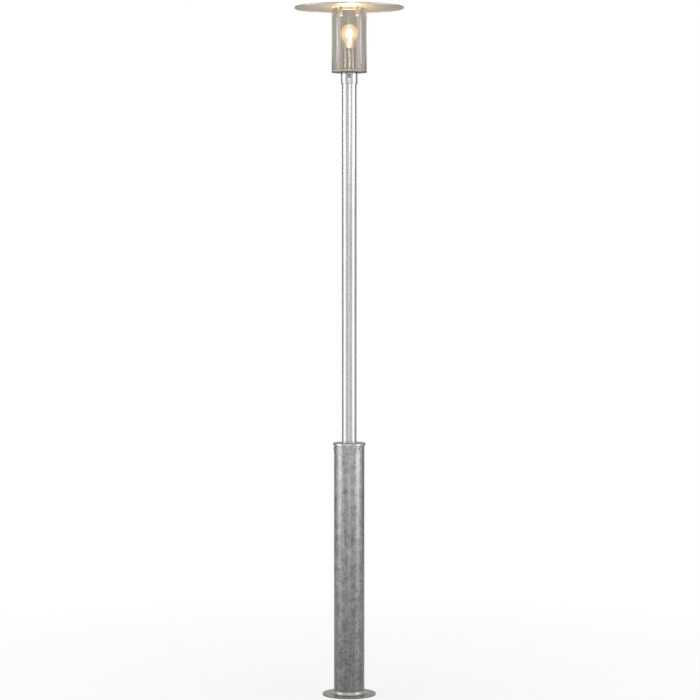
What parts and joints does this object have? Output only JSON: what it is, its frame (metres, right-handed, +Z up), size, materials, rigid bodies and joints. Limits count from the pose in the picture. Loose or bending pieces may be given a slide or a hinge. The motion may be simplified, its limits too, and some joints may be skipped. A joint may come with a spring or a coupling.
{
  "type": "street lamp post",
  "caption": "Galvanised street lamp post: round foot flange, wide service column, slim pole and a clear cylinder lantern with a wide flat hat.",
  "frame": {"origin": "centre of the foot flange's underside, on the post's axis", "axes": "+Z up along the post; -Y is the front, with the clamp bolt; +Y is the rear, with the service door"},
  "size_m": [0.356, 0.356, 2.2477],
  "materials": {
    "galvanised_steel": "hot-dip galvanised, mottled",
    "bright_zinc": "zinc plated, satin",
    "stainless_steel": "polished sheet",
    "brass": "bright",
    "holder_ceramic": "glazed",
    "smoked_acrylic": "clear, lightly smoked",
    "bulb_glass": "clear",
    "filament": "glowing wire",
    "black_rubber": "matte",
    "clear_silicone": "translucent",
    "grey_plastic": "moulded",
    "cable_sheath": "matte",
    "earth_sheath": "smooth"
  },
  "bodies": {
    "post": {"base_flange": "galvanised_steel", "cable_grommet": "black_rubber", "column_tube": "galvanised_steel", "column_cap": "galvanised_steel", "cap_screw_1": "bright_zinc", "cap_screw_2": "bright_zinc", "cap_screw_3": "bright_zinc", "pole_tube": "galvanised_steel", "pole_foot_ring": "galvanised_steel", "door_seal": "black_rubber", "hinge_knuckle_lower": "galvanised_steel", "hinge_knuckle_upper": "galvanised_steel", "hinge_pin_lower": "stainless_steel", "hinge_pin_upper": "stainless_steel", "equipment_board": "galvanised_steel", "terminal_block": "grey_plastic", "cable_saddle": "grey_plastic", "earth_stud": "bright_zinc", "earth_lug": "brass", "earth_nut": "bright_zinc", "earth_lead": "earth_sheath", "lamp_cable": "cable_sheath", "head_collar": "bright_zinc", "clamp_bolt": "bright_zinc", "head_plate": "galvanised_steel", "plate_grommet": "black_rubber", "glass_gasket": "clear_silicone", "glass_cylinder": "smoked_acrylic", "holder_dish": "stainless_steel", "dish_screw_left": "bright_zinc", "dish_screw_right": "bright_zinc", "holder_sleeve": "stainless_steel", "lampholder_body": "holder_ceramic", "lampholder_shell": "brass", "lampholder_contact": "brass"},
    "door": {"door_panel": "galvanised_steel", "lock_housing": "stainless_steel"},
    "lock": {"lock_spindle": "stainless_steel"},
    "hat": {"hat": "galvanised_steel", "hat_gasket": "clear_silicone", "clip_plate": "stainless_steel", "hat_boss": "stainless_steel", "hat_screw": "stainless_steel", "clip_nut": "bright_zinc"},
    "bulb_contact": {"bulb_eyelet": "brass"},
    "bulb": {"bulb_cap": "brass", "bulb_envelope": "bulb_glass", "bulb_stem": "bulb_glass", "bulb_filament": "filament"}
  },
  "joints": [
    {"name": "door_swing", "type": "hinge", "parent": "post", "child": "door", "pos_m": [-0.0377, 0.03908, 0.4], "axis": [0, 0, 1], "range_deg": [0, 110]},
    {"name": "door_lock_turn", "type": "hinge", "parent": "door", "child": "lock", "pos_m": [0.02, 0.04583, 0.4], "axis": [-0.4, -0.9165, 0], "range_deg": [0, 90]},
    {"name": "hat_lift", "type": "slide", "parent": "post", "child": "hat", "axis": [0, 0, 1], "range_m": [0, 0.08]},
    {"name": "bulb_lift", "type": "slide", "parent": "post", "child": "bulb_contact", "axis": [0, 0, 1], "range_m": [0, 0.0218]},
    {"name": "bulb_turn", "type": "hinge", "parent": "bulb_contact", "child": "bulb", "pos_m": [0, 0, 2.0825], "axis": [0, 0, 1], "range_deg": [0, 2160]}
  ],
  "couplings": [
    {"joint": "bulb_lift", "follows": "bulb_turn", "m_per_rad": 0.000576}
  ]
}
